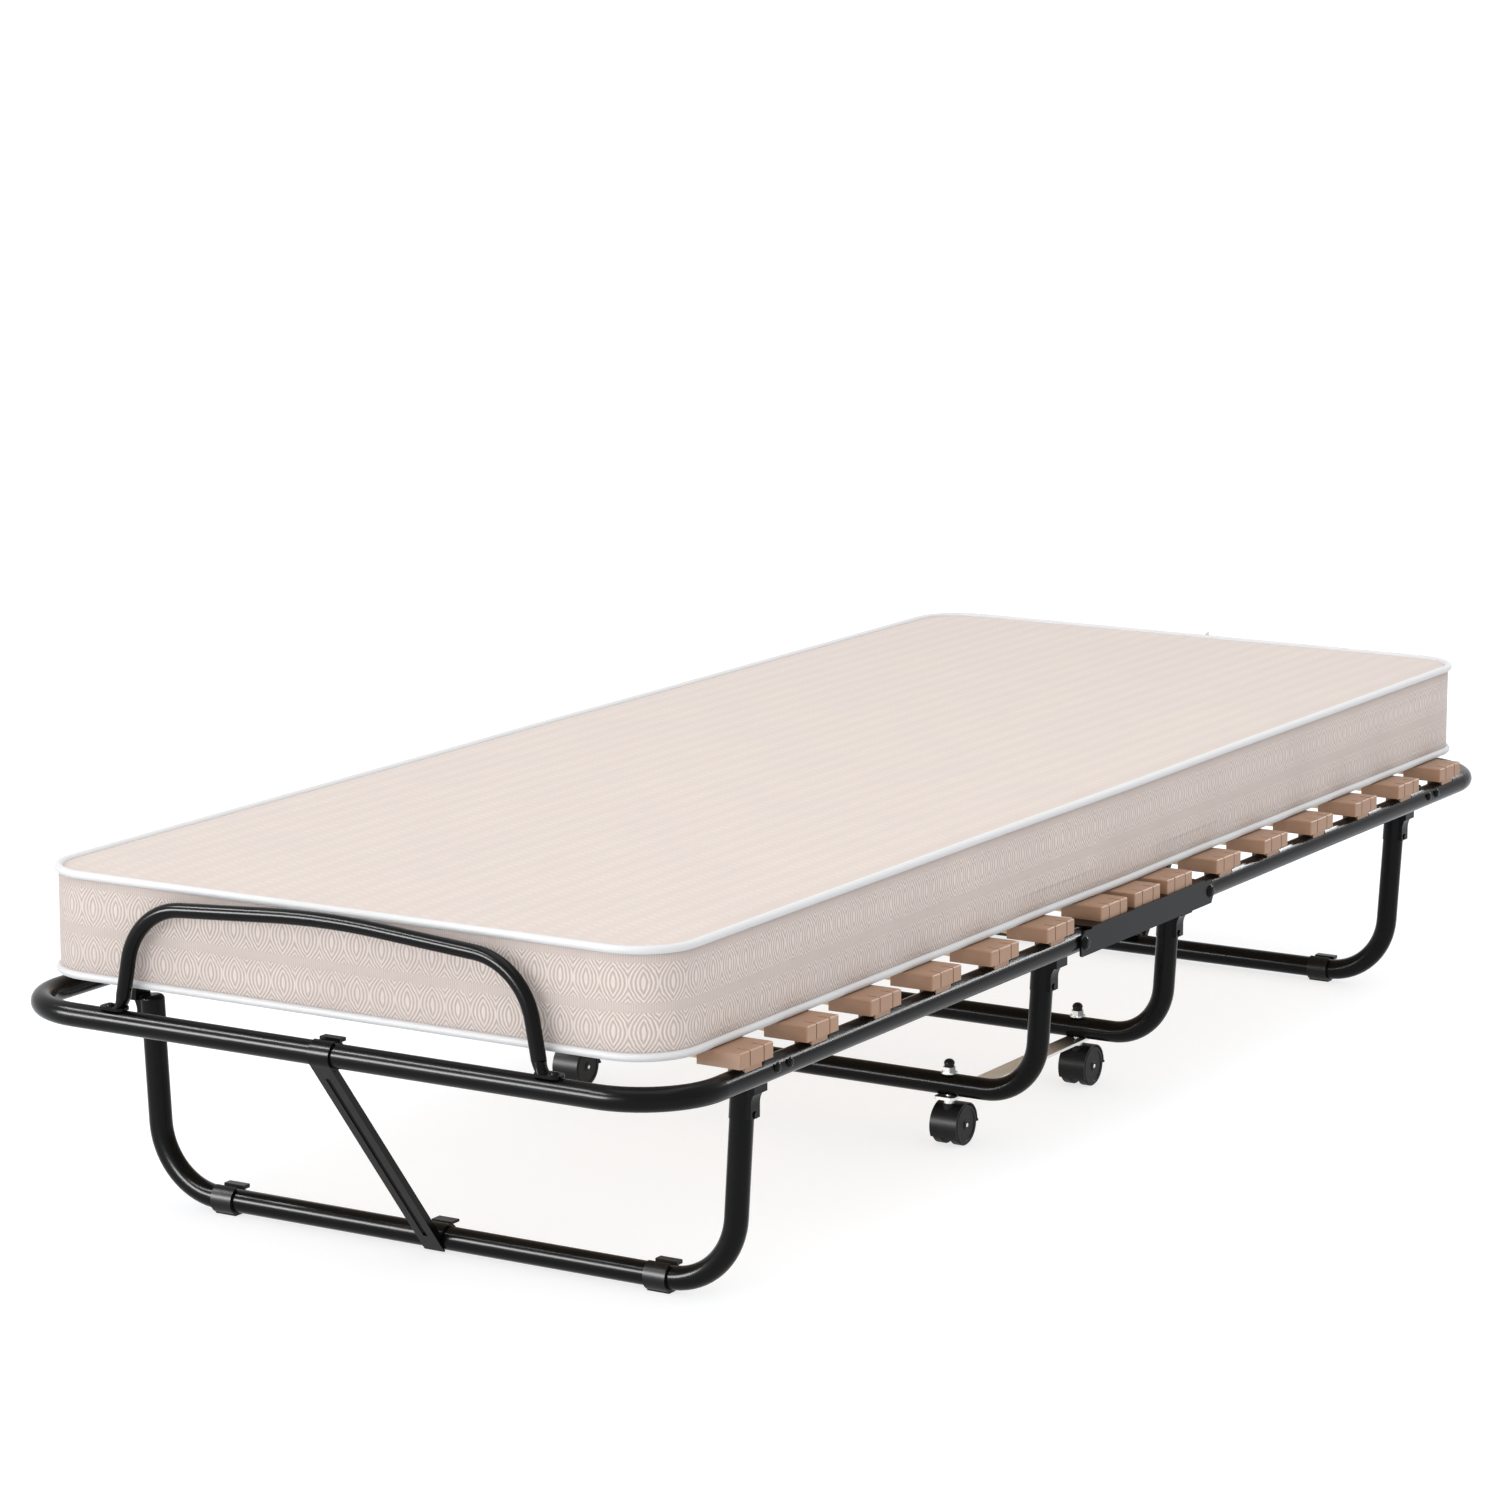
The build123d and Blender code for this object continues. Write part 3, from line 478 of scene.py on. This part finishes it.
def part_of(piece, name, sign, upper):
    """The base or the upper part of the cover, on one side of the middle of the bed."""
    data = piece.data.copy()
    data.name = name
    mesh = bmesh.new()
    mesh.from_mesh(data)
    gone = []
    for face in mesh.faces:
        middle = face.calc_center_median()
        if middle.y * sign < 0 or (middle.z > SPLIT_HEIGHT) != upper:
            gone.append(face)
    bmesh.ops.delete(mesh, geom=gone, context="FACES")
    mesh.to_mesh(data)
    mesh.free()
    part = bpy.data.objects.new(name, data)
    bpy.context.scene.collection.objects.link(part)
    return part


def smooth(data):
    data.polygons.foreach_set("use_smooth", [True] * len(data.polygons))


def ease(data, layer):
    """Draws the sides in a little past the hinges, so that folded layers don't coincide."""
    for vert in data.vertices:
        off = (abs(vert.co.y) - HINGE_Y) / HINGE_Y
        t = min(max((off + 1) / 2, 0), 1)
        depth = END_INSET * t * t * (3 - 2 * t)
        if layer == "base" and abs(off) < 1:
            depth += BASE_INSET * (1 - off * off) ** 2
        reach = min(abs(vert.co.x) / 0.3, 1)        # the middle of the bed stays as it is
        vert.co.x -= math.copysign(depth * reach ** 4, vert.co.x)


def bend(piece):
    """Bakes a quarter of the mattress, or its piping, into its mesh where it stands."""
    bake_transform(piece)


def piping_mesh(name, outline, z, sign):
    """Tube along one half of the seam."""
    sides = 12
    half = [p for p in outline if p.y * sign >= -1e-6]
    start = next(i for i, p in enumerate(half) if (p - half[i - 1]).length > 0.1)
    path = half[start:] + half[:start]
    path = [Vector((p.x, p.y, z)) for p in path]
    mesh = bmesh.new()
    uv_layer = mesh.loops.layers.uv.new("cloth")
    rings, along = [], [0.0]
    for i, point in enumerate(path):
        before, after = path[max(i - 1, 0)], path[min(i + 1, len(path) - 1)]
        if i in (0, len(path) - 1):
            tangent = Vector((0, after.y - before.y, 0)).normalized()
        else:
            tangent = (after - before).normalized()
        out = tangent.cross(Vector((0, 0, 1)))
        ring = []
        for k in range(sides):
            angle = 2 * math.pi * k / sides
            offset = out * math.cos(angle) + Vector((0, 0, math.sin(angle)))
            ring.append(mesh.verts.new(point + offset * PIPING_R))
        rings.append(ring)
        if i:
            along.append(along[-1] + (point - path[i - 1]).length)
    girth = 2 * math.pi * PIPING_R
    for i in range(len(rings) - 1):
        for k in range(sides):
            m = (k + 1) % sides
            face = mesh.faces.new([rings[i][k], rings[i + 1][k], rings[i + 1][m], rings[i][m]])
            places = [(along[i], k), (along[i + 1], k), (along[i + 1], k + 1), (along[i], k + 1)]
            for loop, (u, v) in zip(face.loops, places):
                loop[uv_layer].uv = (u, v * girth / sides)
    bmesh.ops.recalc_face_normals(mesh, faces=mesh.faces)
    data = bpy.data.meshes.new(name)
    mesh.to_mesh(data)
    mesh.free()
    smooth(data)
    data.materials.append(PIPING)
    piece = bpy.data.objects.new(name, data)
    bpy.context.scene.collection.objects.link(piece)
    return piece


def build_mattress():
    """The padded cover and its piping, in quarters: a base and an upper part at each end."""
    data, seam, outline = mattress_mesh()
    data.materials.append(TICKING_SIDE)
    data.materials.append(TICKING_TOP)
    smooth(data)
    whole = bpy.data.objects.new("mattress_whole", data)
    bpy.context.scene.collection.objects.link(whole)
    settle(whole, inflate(whole, seam))
    levels = {"base": SEAM_LOW, "upper": SEAM_HIGH}
    for end, sign in (("near", -1), ("far", 1)):
        for layer, z in levels.items():
            cover = part_of(whole, f"mattress_{layer}_{end}", sign, layer == "upper")
            piping = piping_mesh(f"piping_{layer}_{end}", outline, z, sign)
            for piece in (cover, piping):
                ease(piece.data, layer)
                bend(piece)
            if layer == "upper":
                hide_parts(f"mattress_{end}")
            elif end == "near":
                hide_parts("mattress_middle")
    bpy.data.objects.remove(whole)


# ------------------------------------------------------------------ casters
def axle_ends():
    """Bright riveted end of each axle, in the middle of the wheel's outer face."""
    for i in range(1, 5):
        low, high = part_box(f"caster_wheels_{i}")
        middle = (low + high) / 2
        mesh = bmesh.new()
        for side in (-1, 1):
            edge = high.x if side > 0 else low.x
            made = bmesh.ops.create_uvsphere(mesh, u_segments=20, v_segments=10, radius=2.3 * MM)
            for vert in made["verts"]:
                x, y, z = vert.co
                vert.co = Vector((edge + 0.35 * x, middle.y + y, middle.z + z))
        data = bpy.data.meshes.new(f"axle_ends_{i}")
        mesh.to_mesh(data)
        mesh.free()
        smooth(data)
        data.materials.append(MATERIALS["zinc"])
        piece = bpy.data.objects.new(f"axle_ends_{i}", data)
        bpy.context.scene.collection.objects.link(piece)
        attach(piece, f"wheels_{i}")


# ------------------------------------------------------------------ studio
def camera():
    """The main view."""
    data = bpy.data.cameras.new("camera")
    data.lens = 119.8
    data.sensor_width = 36
    data.clip_end = 100
    eye = bpy.data.objects.new("camera", data)
    eye.location = (2.73394, -4.68183, 1.41393)
    eye.rotation_euler = [math.radians(a) for a in (79.2315, 0, 31.1606)]
    bpy.context.scene.collection.objects.link(eye)
    bpy.context.scene.camera = eye


def softbox(name, place, aim, size, power, glints_only=False):
    """Area light; one that is for glints only doesn't light matt surfaces."""
    data = bpy.data.lights.new(name, "AREA")
    data.shape = "RECTANGLE"
    data.size, data.size_y = size
    data.energy = power
    light = bpy.data.objects.new(name, data)
    light.location = place
    light.rotation_euler = (Vector(aim) - Vector(place)).to_track_quat("-Z", "Y").to_euler()
    light.visible_diffuse = not glints_only
    bpy.context.scene.collection.objects.link(light)


def studio():
    """Plain pale floor under soft light."""
    mesh = bmesh.new()
    bmesh.ops.create_grid(mesh, x_segments=1, y_segments=1, size=40)
    data = bpy.data.meshes.new("floor")
    mesh.to_mesh(data)
    mesh.free()
    floor = bpy.data.objects.new("floor", data)
    bpy.context.scene.collection.objects.link(floor)
    g = Graph("studio_floor")
    g.set(Base_Color=(0.37, 0.39, 0.42, 1), Roughness=0.9, Specular_IOR_Level=0.05)
    g.set(Emission_Color=(1, 1, 1, 1), Emission_Strength=0.72)
    data.materials.append(g.material)
    world = bpy.data.worlds.new("studio")
    bpy.context.scene.world = world
    world.use_nodes = True
    background = world.node_tree.nodes["Background"]
    background.inputs["Color"].default_value = (1, 1, 1, 1)
    background.inputs["Strength"].default_value = 1.0
    softbox("overhead", (0.2, -0.4, 3.4), (0, 0, 0.2), (2.5, 3.5), 50)
    softbox("fill_end", (-0.6, -5.0, 1.4), (0, -0.9, 0.3), (3.0, 1.6), 55)
    softbox("glint_low", (-1.9, -4.2, 1.15), (0, -0.9, 0.2), (3.4, 0.9), 620, glints_only=True)
    softbox("glint_high", (-1.9, -2.8, 3.1), (0, -0.9, 0.2), (3.4, 0.35), 260, glints_only=True)
    softbox("glint_side", (1.5, 3.6, 2.1), (0.39, 0, 0.24), (3.0, 0.30), 90, glints_only=True)
    bpy.context.scene.view_settings.view_transform = "Standard"


paint_frame()
build_mattress()
axle_ends()
studio()
camera()
